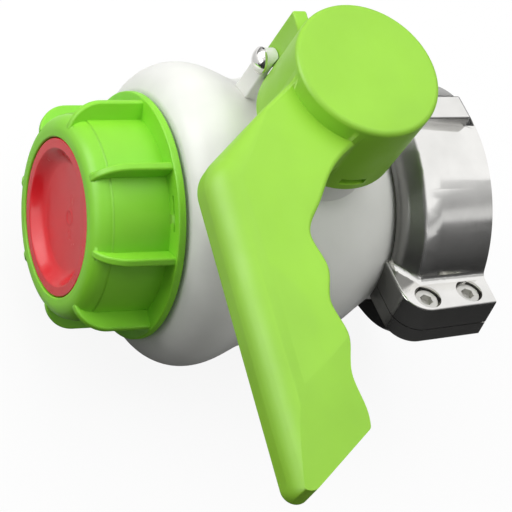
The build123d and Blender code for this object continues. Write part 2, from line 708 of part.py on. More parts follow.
def cap_shell():
    """Turned shape of the cap ring: rear flange, plain cylinder and rounded front with its mouth."""
    lip = disc_back() - DISC_FLANGE_T - PASS_GAP
    front_r = CAP_R - CAP_STEP
    flange_front = CAP_REAR - CAP_FLANGE_T
    return turned([(CAP_BORE_R, CAP_REAR), (CAP_FLANGE_R, CAP_REAR, CAP_FLANGE_EDGE),
                   (CAP_FLANGE_R, flange_front, CAP_FLANGE_EDGE), (CAP_R, flange_front),
                   (CAP_R, CAP_STEP_Y), (front_r, CAP_STEP_Y), (front_r, CAP_FRONT, CAP_NOSE_R),
                   (CAP_MOUTH_R, CAP_FRONT, CAP_MOUTH_EDGE), (CAP_MOUTH_R, lip), (CAP_BORE_R, lip)])


def cap_rib():
    """One grip rib: it rises from the front edge in an arch and runs back to the flange."""
    nose = (CAP_RIB_START_R, CAP_FRONT + CAP_RIB_START)
    crest = (CAP_RIB_R, CAP_RIB_FULL)
    flange = CAP_REAR - CAP_FLANGE_T / 2
    foot = CAP_BORE_R + LOOSE
    side = make_face(TangentArc(crest, nose, tangent=(0, -1))
                     + Polyline(nose, (foot, nose[1]), (foot, flange), (CAP_RIB_R, flange), crest))
    rib = extrude(side, CAP_RIB_T / 2, both=True)
    shoulders = [edge for edge in rib.edges() if abs(edge.center().Z) > RUN_FIT and edge.center().X > CAP_R]
    return fillet(shoulders, CAP_RIB_EDGE)


def cap_slit():
    """Short slit in the flange, in the middle of a bay between two ribs."""
    front = CAP_REAR - CAP_FLANGE_T
    low = SLIT_R - SLIT_W / 2
    high = SLIT_R + SLIT_W / 2
    face = outline_face([(low, front - SLIT_DEPTH), (high, front - SLIT_DEPTH), (high, front + SLIT_DEPTH),
                         (low, front + SLIT_DEPTH)])
    middle = CAP_RIB_PHASE + 180 / CAP_RIBS
    return Rot(0, -middle + SLIT_ARC / 2, 0) * revolve(face, Axis.Y, -SLIT_ARC)


def cap_ring():
    """Green cap ring with its grip ribs."""
    ring = cap_shell()
    for index in range(CAP_RIBS):
        ring += Rot(0, -CAP_RIB_PHASE - index * 360 / CAP_RIBS, 0) * cap_rib()
    return ring - cap_slit()


def cap_disc():
    """Red disc, dished towards the valve, with a flange that the cap ring holds."""
    front = CAP_FRONT + DISC_RECESS
    back = disc_back()
    flange_front = back - DISC_FLANGE_T
    flange_r = CAP_BORE_R - PASS_GAP
    rim_r = CAP_MOUTH_R - PASS_GAP
    floor = front + DISH_DEPTH
    ball_r = (DISH_R**2 + DISH_DEPTH**2) / (2 * DISH_DEPTH)
    centre = floor - ball_r
    body = turned([(0, front), (rim_r, front, DISH_EDGE), (rim_r, flange_front), (flange_r, flange_front),
                   (flange_r, back), (0, back)])
    bulge = Pos(0, centre, 0) * Sphere(ball_r + DISH_WALL)
    bulge &= turned([(0, back - DISC_FLANGE_T), (CAP_GASKET_BORE_R, back - DISC_FLANGE_T),
                     (CAP_GASKET_BORE_R, back + ball_r), (0, back + ball_r)])
    return body + bulge - Pos(0, centre, 0) * Sphere(ball_r)


def cap_gasket():
    """Flat ring between the red disc and the end of the spigot."""
    back = disc_back()
    return turned([(CAP_GASKET_BORE_R, back), (SPIGOT_R, back), (SPIGOT_R, SPIGOT_END),
                   (CAP_GASKET_BORE_R, SPIGOT_END)])


def write(name, piece):
    """Move a finished piece into the part's frame and save it."""
    solids = piece if isinstance(piece, list) else [piece]
    moved = [Pos(0, -CLAMP_BACK, 0) * solid for solid in solids]
    shape = moved[0] if len(moved) == 1 else Compound(children=moved)
    export_step(shape, os.path.join("parts", name + ".step"))


os.makedirs("parts", exist_ok=True)
write("valve_body", valve_body())
write("inlet_neck", inlet_neck())
write("outlet_end_piece", outlet_end_piece())
write("end_piece_oring", flow_ring(plug_oring_middle(), PLUG_ORING_Y))
write("ball", ball())
write("seat_ring_inlet", seat_ring())
write("seat_ring_outlet", outlet_side(seat_ring()))
write("seat_oring_inlet", seat_oring())
write("seat_oring_outlet", outlet_side(seat_oring()))
write("flange_gasket", flange_gasket())
write("stem", stem())
write("stem_oring_lower", stem_oring(STEM_ORING_Z[0]))
write("stem_oring_upper", stem_oring(STEM_ORING_Z[1]))
write("stem_thrust_washer", thrust_washer())
write("handle", handle())
write("lock_screw", lock_screw())
write("clamp_upper_half", tilted(clamp_upper_half()))
write("clamp_lower_half", tilted(clamp_lower_half()))
write("clamp_bolts", [tilted(bolt) for bolt in clamp_bolts()])
write("cap_ring", cap_ring())
write("cap_disc", cap_disc())
write("cap_gasket", cap_gasket())
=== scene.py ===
"""Finished look of a container outlet ball valve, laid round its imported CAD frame."""

import json
import math

import bmesh
import bpy
from bpy.props import FloatProperty, FloatVectorProperty, PointerProperty
from mathutils import Matrix, Vector


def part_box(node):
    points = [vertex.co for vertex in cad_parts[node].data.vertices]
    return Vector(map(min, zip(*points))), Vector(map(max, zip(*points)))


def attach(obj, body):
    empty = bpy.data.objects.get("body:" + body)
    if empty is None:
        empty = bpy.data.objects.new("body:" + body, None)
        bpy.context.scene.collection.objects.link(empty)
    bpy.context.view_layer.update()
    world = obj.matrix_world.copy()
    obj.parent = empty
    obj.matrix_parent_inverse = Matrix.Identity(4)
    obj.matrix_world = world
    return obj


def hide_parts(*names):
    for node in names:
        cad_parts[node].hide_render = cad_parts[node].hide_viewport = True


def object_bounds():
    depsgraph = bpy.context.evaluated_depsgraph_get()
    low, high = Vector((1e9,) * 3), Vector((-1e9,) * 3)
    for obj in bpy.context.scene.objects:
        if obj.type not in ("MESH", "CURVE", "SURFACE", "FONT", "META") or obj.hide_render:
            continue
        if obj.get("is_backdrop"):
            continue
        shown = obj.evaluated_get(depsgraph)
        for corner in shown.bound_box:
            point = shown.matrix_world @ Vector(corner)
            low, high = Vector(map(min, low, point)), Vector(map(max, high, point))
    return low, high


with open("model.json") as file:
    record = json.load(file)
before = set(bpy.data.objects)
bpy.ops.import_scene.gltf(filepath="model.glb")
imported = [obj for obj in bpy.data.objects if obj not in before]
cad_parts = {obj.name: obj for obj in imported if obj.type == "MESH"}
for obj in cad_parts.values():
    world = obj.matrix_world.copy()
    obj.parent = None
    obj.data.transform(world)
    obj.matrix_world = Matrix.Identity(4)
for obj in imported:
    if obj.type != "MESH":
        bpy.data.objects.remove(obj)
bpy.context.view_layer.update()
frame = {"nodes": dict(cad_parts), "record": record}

bl_info = {
    "name": "Container Ball Valve",
    "version": (1, 0, 0),
    "blender": (4, 5, 0),
    "location": "View3D > Sidebar > Ball Valve",
    "description": "Dresses the CAD frame of a container outlet ball valve",
    "category": "Object",
}

MM = 0.001
STEM_Y = -66 * MM               # stem axis in the frame, which starts at the clamp's tank-side face
CLAMP_TILT = math.radians(13)   # turn of the clamp's split plane about the flow axis
SPIGOT_R = 29.8 * MM            # crest of the outlet thread
SPIGOT_LENGTH = 21.5 * MM       # of the spigot in front of the body
SPIGOT_EDGE = 1.5 * MM          # more than the chamfer takes off the spigot's radius
CAP_BORE_R = 30.4 * MM          # plain bore of the cap ring, which carries its thread
THREAD_START = 2.2 * MM         # from the cap's rear face
THREAD_STEPS = 72               # points of a thread in one turn
THREAD_TIP = 0.15               # share of its full size that a ridge has at its ends
THREAD_GROWTH = 14              # how fast it grows from there, for each share of its length
SINK = 0.1 * MM                 # how far a ridge's foot sits in what carries it
DISH_R = 23.1 * MM              # of the round hollow in the closing disc
DISH_DEPTH = 5 * MM             # of the plain hollow that the CAD disc has
PAN_WALL = 5.9 * MM             # width of the steep round wall of the finished hollow
PAN_DEPTH = 4.1 * MM            # of the wall's foot
PAN_SAG = 0.75 * MM             # how much deeper the middle of the floor lies
PAN_EDGE = 0.2 * MM             # flat left between the hollow's edge and its wall
GATE_R = 2.2 * MM               # low ring that the moulding left in the middle
GATE_WIDTH = 0.45 * MM
GATE_HEIGHT = 0.22 * MM
WALL_RINGS = 18                 # rings of faces down the wall of the hollow
FLOOR_RINGS = 7                 # across its floor, as far as the gate's ring
GATE_RINGS = 14                 # from there to the middle
WALL_LEAN = 0.7                 # under 1, the wall is steepest near the hollow's edge
BOLT_PLACES = ((50.4 * MM, -25.6 * MM), (48.6 * MM, -8.6 * MM))     # from the middle of the clamp's rear
BOLT_SEAT = 4.2 * MM            # under the heads, from the clamp's split
BOLT_END = -6.4 * MM            # lower end of their shanks
BOLT_STEPS = 48                 # points round a bolt
BOLT_EDGE = 0.4 * MM            # rounding of its edges
SOCKET_LEAD = 0.15 * MM         # how far the socket's mouth reaches past its corners
SOCKET_DEPTH = 2.6 * MM
LUG_TOP = 10.8 * MM             # just above the clamp's lugs, from the clamp's split
BEVEL_END = -26.2 * MM          # where the polish ends on the ring's front bevel
LUG_FRONT = -34.8 * MM          # front face of the clamp's lugs
DULL_EDGE = 0.6 * MM            # width over which the polish ends and the painted shade sets in
PAINTED_SHADE_TONE = 0.31                # painted shade: share of the casting's colour that the front bevel and the lugs' fronts keep
DULL_ROUGH = 0.22               # how much rougher the front bevel and the lugs' fronts are
JOIN_GAP = 0.002 * MM           # points nearer than this are one point
FLAT_ANGLE = 0.2                # in degrees, faces that differ by less are one flat face
SHARP_ANGLE = 32                # in degrees, edges over this stay sharp

# Noise in the finishes: grains in a metre, and the heights of their relief
NOISE_LOW = 0.3                 # most of a noise lies between these two
NOISE_HIGH = 0.7
FLOW_CLOUDS = 38                # of colour in a moulding
FLOW_TONES = (0.94, 1.05)       # darkest and lightest share of its colour
GLOSS_PATCHES = 160
GLOSS_SWING = (-0.05, 0.06)     # by which its roughness goes down and up
LOW_WAVES = 90
LOW_WAVE_HEIGHT = 0.03 * MM
DISC_WAVE_HEIGHT = 0.008 * MM   # on the closing disc, which is smoother
FINE_GRAIN = 2600
FINE_GRAIN_HEIGHT = 0.005 * MM
SOFT_DEPTH = 2.5 * MM           # how far light goes into a moulding
CAST_CLOUDS = 55                # of tone in the casting
CAST_TONES = (0.9, 1.06)
CAST_PATCHES = 120
CAST_GLOSS = (0.11, 0.18)       # range of its roughness
CAST_WAVES = 42
CAST_WAVE_HEIGHT = 0.04 * MM
POLISH_LINES = 60
POLISH_STRETCH = (1, 26, 1)     # thins the lines along the flow axis, so that they run round it
POLISH_HEIGHT = 0.006 * MM
PLATE_CLOUDS = 300              # of tone in plated steel
PLATE_TONE = 0.85               # darkest share of its colour
PLATE_PATCHES = 500
PLATE_GRAIN = 900
PLATE_GRAIN_HEIGHT = 0.004 * MM
RUBBER_DUST = 220
RUBBER_CLEAN = (0.018, 0.018, 0.019)
RUBBER_DUSTY = (0.045, 0.045, 0.047)
RUBBER_GLOSS = (0.48, 0.66)
RUBBER_GRAIN = 1500
RUBBER_GRAIN_HEIGHT = 0.01 * MM

# Where the photograph was taken from: place, then the camera's right, up and back directions
CAMERA_PLACE = (0.338724, -0.422668, 0.595396)
CAMERA_RIGHT = (0.25307316, 0.88730967, 0.38553277)
CAMERA_UP = (-0.8705651, 0.03504499, 0.49080369)
CAMERA_BACK = (0.42198387, -0.45984062, 0.78132978)
CAMERA_LENS = 159.57
CAMERA_SENSOR = 36
CAMERA_REACH = 20                   # how far it sees

# Lamps, sky and floor
LAMP_AIM = (0.02, STEM_Y, 0.02)     # middle of the object, which the lamps look at
KEY_SIDE = (-0.26, 0.10, 0.96)      # where the large lamp stands, from the object
KEY_DISTANCE = 0.75
KEY_SIZE = 1.0
FILL_SIDE = (-0.44, -0.80, 0.41)    # where the lamp in front of the outlet stands
FILL_DISTANCE = 0.8
FILL_SIZE = 0.5
SKY_SIDE = (0.05, 0.38, 0.92)       # the brighter side of the sky light
SKY_DARK = -0.6                     # cosine from that side at which the sky is darkest
SKY_BRIGHT = 0.9                    # cosine at which it is brightest
FLOOR_HALF = 4.0                    # half the floor's width
FLOOR_GREY = 0.86
FLOOR_GLOW = 0.90                   # share of plain white in the floor where it is seen
PAPER_ROUGH = 0.9                   # of the floor and the cards on it

# Cards that only gloss shows. Those on the floor have an outline and a grey.
CARD_LIFT = 1 * MM                  # above the floor
NEAR_FLAG = ((0.03, -0.60), (0.50, -0.60), (0.50, 0.40), (0.075, 0.40), (0.075, -0.004),
             (-0.06, -0.004), (-0.06, -0.03), (-0.012, -0.03), (-0.012, -0.13), (0.03, -0.13))
NEAR_GREY = 0.03
BACK_FLAG = ((-0.50, -0.004), (0.075, -0.004), (0.075, 0.60), (-0.50, 0.60))
BACK_GREY = 0.42
FRONT_FLAG = ((-0.30, -0.60), (0.03, -0.60), (0.03, -0.13), (-0.30, -0.13))
FRONT_GREY = 0.55

# The other cards are parts of a ball round the object, between two turns and two heights in degrees
CARD_R = 0.6
CARD_ROWS = 16
CARD_COLUMNS = 30
SIDE_CARD = ((-74, 80), (-4, 56))
FAR_CARD = ((80, 165), (-4, 24))
LEFT_CARD = ((165, 230), (-4, 24))
FRONT_STRIP = ((235, 286), (5, 22))
STRIP_GLOW = 2.8                    # of the light strip in front of the outlet

# Greys of those cards: each pair is a height, as a share of the ball's radius, and the grey there
DARK_STEPS = ((0.0, 0.03), (0.14, 0.05), (0.41, 0.10), (0.57, 0.16), (0.60, 0.72), (0.67, 0.66),
              (0.70, 0.38), (0.74, 0.40), (0.83, 0.70))
PALE_STEPS = ((0.0, 0.22), (0.10, 0.34), (0.24, 0.62), (0.40, 0.95))
EVEN_STEPS = ((0, 1), (1, 1))


class ValveFinishes(bpy.types.PropertyGroup):
    """Colours of the moulded and cast pieces."""

    # painted sheen: the lever's green is made paler and yellower than the cap's to stand in for the sheen
    # on its tops; the lever and the cap are one plastic
    lever: FloatVectorProperty(
        name="Lever", description="Colour of the lever handle",
        subtype="COLOR", size=3, min=0, max=1, default=(0.290, 0.600, 0.038))
    # the cap's green is the plastic's own colour, without the lever's painted sheen
    cap: FloatVectorProperty(
        name="Cap", description="Colour of the ribbed cap ring, a purer green than the lever",
        subtype="COLOR", size=3, min=0, max=1, default=(0.245, 0.660, 0.028))
    red: FloatVectorProperty(
        name="Closing disc", description="Colour of the dished disc in the cap",
        subtype="COLOR", size=3, min=0, max=1, default=(0.76, 0.018, 0.026))
    white: FloatVectorProperty(
        name="Body", description="Colour of the natural white body",
        subtype="COLOR", size=3, min=0, max=1, default=(0.78, 0.785, 0.745))
    aluminium: FloatVectorProperty(
        name="Clamp", description="Colour of the polished casting",
        subtype="COLOR", size=3, min=0, max=1, default=(0.88, 0.872, 0.848))


class OutletThread(bpy.types.PropertyGroup):
    """Sizes of the coarse outlet thread and of the thread inside the cap."""

    pitch: FloatProperty(
        name="Pitch", description="Advance of the thread in one turn",
        unit="LENGTH", default=6 * MM, min=1 * MM)
    turns: FloatProperty(
        name="Turns", description="Number of turns on the spigot", default=2.75, min=0.5)
    cap_turns: FloatProperty(
        name="Cap turns", description="Number of turns inside the cap", default=2.2, min=0.5)
    depth: FloatProperty(
        name="Depth", description="Height of the thread from root to crest",
        unit="LENGTH", default=2.3 * MM, min=0.2 * MM)
    root_width: FloatProperty(
        name="Root width", description="Width of a thread ridge at its root",
        unit="LENGTH", default=3.2 * MM, min=0.5 * MM)
    crest_width: FloatProperty(
        name="Crest width", description="Width of a thread ridge at its crest",
        unit="LENGTH", default=1.3 * MM, min=0.2 * MM)


class ClampBolts(bpy.types.PropertyGroup):
    """Sizes of the four socket head bolts."""

    shank: FloatProperty(
        name="Shank radius", description="Radius of the threaded shank",
        unit="LENGTH", default=2.5 * MM, min=0.5 * MM)
    head: FloatProperty(
        name="Head radius", description="Radius of the round head",
        unit="LENGTH", default=4.25 * MM, min=1 * MM)
    head_height: FloatProperty(
        name="Head height", description="Height of the round head",
        unit="LENGTH", default=5 * MM, min=1 * MM)
    key: FloatProperty(
        name="Key width", description="Width across the flats of the hexagon socket",
        unit="LENGTH", default=4 * MM, min=0.5 * MM)


class StudioLight(bpy.types.PropertyGroup):
    """Strengths of the soft studio light."""

    key: FloatProperty(
        name="Key", description="Power of the large lamp overhead", unit="POWER", default=5.4, min=0)
    fill: FloatProperty(
        name="Fill", description="Power of the lamp in front of the outlet",
        unit="POWER", default=3.5, min=0)
    ambient: FloatProperty(
        name="Ambient", description="Strength of the sky light on its bright side", default=0.50, min=0)
    shade: FloatProperty(
        name="Shade", description="Strength of the sky light on its dark side", default=0.07, min=0)


# Node helpers

def add_node(tree, kind, **values):
    """Add a node and set its inputs by their names."""
    node = tree.nodes.new(kind)
    for name, value in values.items():
        node.inputs[name.replace("_", " ")].default_value = value
    return node


def new_material(name):
    """Empty node material with a Principled shader; returns material, tree and shader."""
    material = bpy.data.materials.new(name)
    material.use_nodes = True
    tree = material.node_tree
    shader = tree.nodes["Principled BSDF"]
    return material, tree, shader


def noise(tree, scale, detail=2.0, stretch=(1, 1, 1)):
    """Noise on the piece's own coordinates, in metres, stretched along the axes where asked."""
    place = tree.nodes.new("ShaderNodeTexCoord")
    mapping = add_node(tree, "ShaderNodeMapping", Scale=stretch)
    texture = add_node(tree, "ShaderNodeTexNoise", Scale=scale, Detail=detail)
    tree.links.new(place.outputs["Object"], mapping.inputs["Vector"])
    tree.links.new(mapping.outputs["Vector"], texture.inputs["Vector"])
    return texture.outputs["Fac"]


def calculate(tree, operation, *values):
    """Math node on sockets and plain numbers."""
    node = tree.nodes.new("ShaderNodeMath")
    node.operation = operation
    for socket, value in zip(node.inputs, values):
        if isinstance(value, bpy.types.NodeSocket):
            tree.links.new(value, socket)
        else:
            socket.default_value = value
    return node.outputs[0]


def ramp_between(tree, value, start, end, low=0, high=1):
    """Number that goes evenly from low to high as a value goes from start to end."""
    node = add_node(tree, "ShaderNodeMapRange", From_Min=start, From_Max=end, To_Min=low, To_Max=high)
    tree.links.new(value, node.inputs["Value"])
    return node.outputs["Result"]


def spread(tree, factor, low, high):
    """Spread a noise value over a range of numbers."""
    return ramp_between(tree, factor, NOISE_LOW, NOISE_HIGH, low, high)


def between(tree, factor, first, second):
    """Colour between two by a noise value."""
    node = tree.nodes.new("ShaderNodeMix")
    node.data_type = "RGBA"
    node.inputs["A"].default_value = (*first, 1)
    node.inputs["B"].default_value = (*second, 1)
    tree.links.new(spread(tree, factor, 0, 1), node.inputs["Factor"])
    return node.outputs["Result"]


def seen_directly(tree):
    """1 for rays that show the background: to the camera, in a reflection or through a clear piece."""
    rays = tree.nodes.new("ShaderNodeLightPath").outputs
    seen = calculate(tree, "MAXIMUM", rays["Is Camera Ray"], rays["Is Glossy Ray"])
    return calculate(tree, "MAXIMUM", seen, rays["Is Transmission Ray"])


def shaded(colour, amount):
    """The same colour made lighter or darker."""
    return tuple(min(1, channel * amount) for channel in colour)


def bumps(tree, shader, *layers):
    """Relief from noise layers, each a value and the height of its bumps."""
    normal = None
    for height, size in layers:
        bump = tree.nodes.new("ShaderNodeBump")
        bump.inputs["Strength"].default_value = 1
        bump.inputs["Distance"].default_value = size
        tree.links.new(height, bump.inputs["Height"])
        if normal:
            tree.links.new(normal, bump.inputs["Normal"])
        normal = bump.outputs["Normal"]
    tree.links.new(normal, shader.inputs["Normal"])


def moulded_plastic(name, colour, rough, soft, wave=LOW_WAVE_HEIGHT):
    """Satin injection moulding: faint clouds, uneven gloss, low waves, a fine grain and a little depth."""
    material, tree, shader = new_material(name)
    tones = [shaded(colour, tone) for tone in FLOW_TONES]
    tint = between(tree, noise(tree, FLOW_CLOUDS, 3), *tones)
    gloss = spread(tree, noise(tree, GLOSS_PATCHES, 3), *[rough + swing for swing in GLOSS_SWING])
    tree.links.new(tint, shader.inputs["Base Color"])
    tree.links.new(gloss, shader.inputs["Roughness"])
    shader.inputs["Subsurface Weight"].default_value = soft
    shader.inputs["Subsurface Radius"].default_value = (1, 1, 1)
    shader.inputs["Subsurface Scale"].default_value = SOFT_DEPTH
    grain = noise(tree, FINE_GRAIN, 2)
    bumps(tree, shader, (noise(tree, LOW_WAVES, 2), wave), (grain, FINE_GRAIN_HEIGHT))
    return material


def front_roughness_and_shade(tree):
    """1 on the clamp's front bevel and the front of its lugs and 0 elsewhere; there the casting is left
    unpolished, which makes it rougher, and its colour is darkened as painted shade.
    """
    place = tree.nodes.new("ShaderNodeTexCoord")
    apart = tree.nodes.new("ShaderNodeSeparateXYZ")
    tree.links.new(place.outputs["Object"], apart.inputs["Vector"])
    x, y, z = apart.outputs
    upright = calculate(tree, "MULTIPLY", z, math.cos(CLAMP_TILT))
    height = calculate(tree, "MULTIPLY_ADD", x, -math.sin(CLAMP_TILT), upright)
    above_lugs = ramp_between(tree, height, LUG_TOP, LUG_TOP + 2 * DULL_EDGE)
    bevel = ramp_between(tree, y, BEVEL_END, BEVEL_END - DULL_EDGE)
    lugs = ramp_between(tree, y, LUG_FRONT + DULL_EDGE, LUG_FRONT)
    return calculate(tree, "MAXIMUM", calculate(tree, "MULTIPLY", bevel, above_lugs), lugs)


def polished_casting(name, colour):
    """Polished cast aluminium: mirror bright, a little wavy, with fine polishing lines and an unpolished
    front that is rougher and darkened as painted shade.
    """
    material, tree, shader = new_material(name)
    shader.inputs["Metallic"].default_value = 1
    tones = [shaded(colour, tone) for tone in CAST_TONES]
    cloud = between(tree, noise(tree, CAST_CLOUDS, 4), *tones)
    # the mask makes the front rougher and darkens its colour as painted shade
    roughness_and_shade = front_roughness_and_shade(tree)
    tone = tree.nodes.new("ShaderNodeVectorMath")
    tone.operation = "SCALE"
    tree.links.new(cloud, tone.inputs[0])
    tree.links.new(calculate(tree, "MULTIPLY_ADD", roughness_and_shade, PAINTED_SHADE_TONE - 1, 1), tone.inputs["Scale"])
    tree.links.new(tone.outputs["Vector"], shader.inputs["Base Color"])
    gloss = spread(tree, noise(tree, CAST_PATCHES, 4), *CAST_GLOSS)
    tree.links.new(calculate(tree, "MULTIPLY_ADD", roughness_and_shade, DULL_ROUGH, gloss), shader.inputs["Roughness"])
    lines = noise(tree, POLISH_LINES, 3, stretch=POLISH_STRETCH)
    bumps(tree, shader, (noise(tree, CAST_WAVES, 1), CAST_WAVE_HEIGHT), (lines, POLISH_HEIGHT))
    return material


def bright_metal(name, colour, low, high):
    """Plated or turned steel with uneven gloss."""
    material, tree, shader = new_material(name)
    shader.inputs["Metallic"].default_value = 1
    cloud = between(tree, noise(tree, PLATE_CLOUDS, 3), shaded(colour, PLATE_TONE), colour)
    tree.links.new(cloud, shader.inputs["Base Color"])
    tree.links.new(spread(tree, noise(tree, PLATE_PATCHES, 3), low, high), shader.inputs["Roughness"])
    bumps(tree, shader, (noise(tree, PLATE_GRAIN, 2), PLATE_GRAIN_HEIGHT))
    return material


def seal_rubber(name):
    """Black elastomer with a dusty bloom."""
    material, tree, shader = new_material(name)
    dust = noise(tree, RUBBER_DUST, 4)
    bloom = between(tree, dust, RUBBER_CLEAN, RUBBER_DUSTY)
    tree.links.new(bloom, shader.inputs["Base Color"])
    tree.links.new(spread(tree, dust, *RUBBER_GLOSS), shader.inputs["Roughness"])
    bumps(tree, shader, (noise(tree, RUBBER_GRAIN, 2), RUBBER_GRAIN_HEIGHT))
    return material


def finish(name):
    """Material of one finish, made the first time that a piece asks for it.

    A moulding has a colour, a roughness and a share of light that goes into it; a metal has a colour
    and the range of its roughness.
    """
    if name in bpy.data.materials:
        return bpy.data.materials[name]
    colours = bpy.context.scene.valve_finishes
    makers = {
        # the lever's colour holds painted sheen
        "lever_green": lambda: moulded_plastic(name, colours.lever, 0.45, 0.12),
        "cap_green": lambda: moulded_plastic(name, colours.cap, 0.45, 0.12),
        "red_moulding": lambda: moulded_plastic(name, colours.red, 0.22, 0.10, DISC_WAVE_HEIGHT),
        "natural_white": lambda: moulded_plastic(name, colours.white, 0.38, 0.35),
        "ball_white": lambda: moulded_plastic(name, (0.74, 0.74, 0.72), 0.22, 0.20),
        "seat_white": lambda: moulded_plastic(name, (0.84, 0.84, 0.84), 0.50, 0.25),
        "stem_grey": lambda: moulded_plastic(name, (0.36, 0.36, 0.355), 0.45, 0.05),
        "polished_casting": lambda: polished_casting(name, colours.aluminium),
        "plated_screw": lambda: bright_metal(name, (0.80, 0.80, 0.79), 0.17, 0.25),
        "bolt_steel": lambda: bright_metal(name, (0.84, 0.77, 0.66), 0.18, 0.30),
        "seal_rubber": lambda: seal_rubber(name),
    }
    return makers[name]()


# Mesh helpers

def link_mesh(name, mesh):
    """Object at the origin that shows a mesh."""
    piece = bpy.data.objects.new(name, mesh)
    bpy.context.scene.collection.objects.link(piece)
    return piece


def merged_copy(node, name, reshape=None):
    """Copy of a CAD node whose loose triangles are joined, with flat faces made whole again."""
    mesh = frame["nodes"][node].data.copy()
    mesh.name = name
    mesh.materials.clear()
    shape = bmesh.new()
    shape.from_mesh(mesh)
    bmesh.ops.remove_doubles(shape, verts=shape.verts, dist=JOIN_GAP)
    if reshape:
        reshape(shape)
    bmesh.ops.dissolve_limit(
        shape, angle_limit=math.radians(FLAT_ANGLE), verts=shape.verts, edges=shape.edges,
        delimit={"NORMAL"})
    shape.to_mesh(mesh)
    shape.free()
    return link_mesh(name, mesh)


def shade(piece):
    """Smooth shading that keeps flat faces flat and edges over an angle sharp."""
    piece.data.shade_smooth()
    piece.data.set_sharp_from_angle(angle=math.radians(SHARP_ANGLE))
    weighted = piece.modifiers.new("flat faces", "WEIGHTED_NORMAL")
    weighted.mode = "FACE_AREA"
    weighted.keep_sharp = True


def dress(piece, body, slot, material, *nodes):
    """Give a piece its finish and its body and hide the CAD nodes that it stands for; the slot is not used.
    """
    piece.data.materials.clear()
    piece.data.materials.append(finish(material))
    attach(piece, body)
    if nodes:
        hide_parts(*nodes)


def node_body(node):
    """Name of the CAD body that a node belongs to."""
    bodies = frame["record"]["behaviour"]["bodies"]
    return next(body for body, members in bodies.items() if node in members)


def node_slot(node):
    """Material slot that the record gives to a node."""
    return next(row["material_slot"] for row in frame["record"]["subparts"] if row["node"] == node)


def dress_node(node, name, material, reshape=None):
    """Replace a CAD node by its smoothly shaded copy."""
    piece = merged_copy(node, name, reshape)
    shade(piece)
    dress(piece, node_body(node), node_slot(node), material, node)


def ring_loft(shape, rings):
    """Closed skin through rings of points, ended by a point at each end."""
    loops = [[shape.verts.new(point) for point in ring] for ring in rings]
    for low, high in zip(loops, loops[1:]):
        if len(low) == 1:
            low = low * len(high)
        if len(high) == 1:
            high = high * len(low)
        for index in range(len(low)):
            after = (index + 1) % len(low)
            corners = dict.fromkeys((low[index], low[after], high[after], high[index]))
            shape.faces.new(corners)
    bmesh.ops.recalc_face_normals(shape, faces=shape.faces)


def circle(radius, height, count):
    """Ring of points round the upright axis, or the one point on it."""
    if radius == 0:
        return [(0, 0, height)]
    turns = [2 * math.pi * index / count for index in range(count)]
    return [(radius * math.cos(turn), radius * math.sin(turn), height) for turn in turns]


def hexagon(width, height, count):
    """Ring of points on a hexagon of a width across its flats."""
    ring = []
    for x, y, z in circle(1, height, count):
        lean = math.atan2(y, x) % (math.pi / 3) - math.pi / 6
        reach = width / 2 / math.cos(lean)
        ring.append((x * reach, y * reach, z))
    return ring


# Geometry Nodes

def new_tree(name, sockets):
    """Geometry node tree with named inputs; returns the tree, its inputs and its result socket."""
    tree = bpy.data.node_groups.new(name, "GeometryNodeTree")
    tree.interface.new_socket("Geometry", in_out="INPUT", socket_type="NodeSocketGeometry")
    for label, kind in sockets.items():
        tree.interface.new_socket(label, in_out="INPUT", socket_type=kind)
    tree.interface.new_socket("Geometry", in_out="OUTPUT", socket_type="NodeSocketGeometry")
    given = tree.nodes.new("NodeGroupInput")
    result = tree.nodes.new("NodeGroupOutput")
    return tree, given.outputs, result.inputs["Geometry"]


def finished(tree, geometry, material, result):
    """End a tree: instances made real, then the finish."""
    real = tree.nodes.new("GeometryNodeRealizeInstances")
    coat = tree.nodes.new("GeometryNodeSetMaterial")
    tree.links.new(geometry, real.inputs["Geometry"])
    tree.links.new(real.outputs["Geometry"], coat.inputs["Geometry"])
    tree.links.new(material, coat.inputs["Material"])
    tree.links.new(coat.outputs["Geometry"], result)


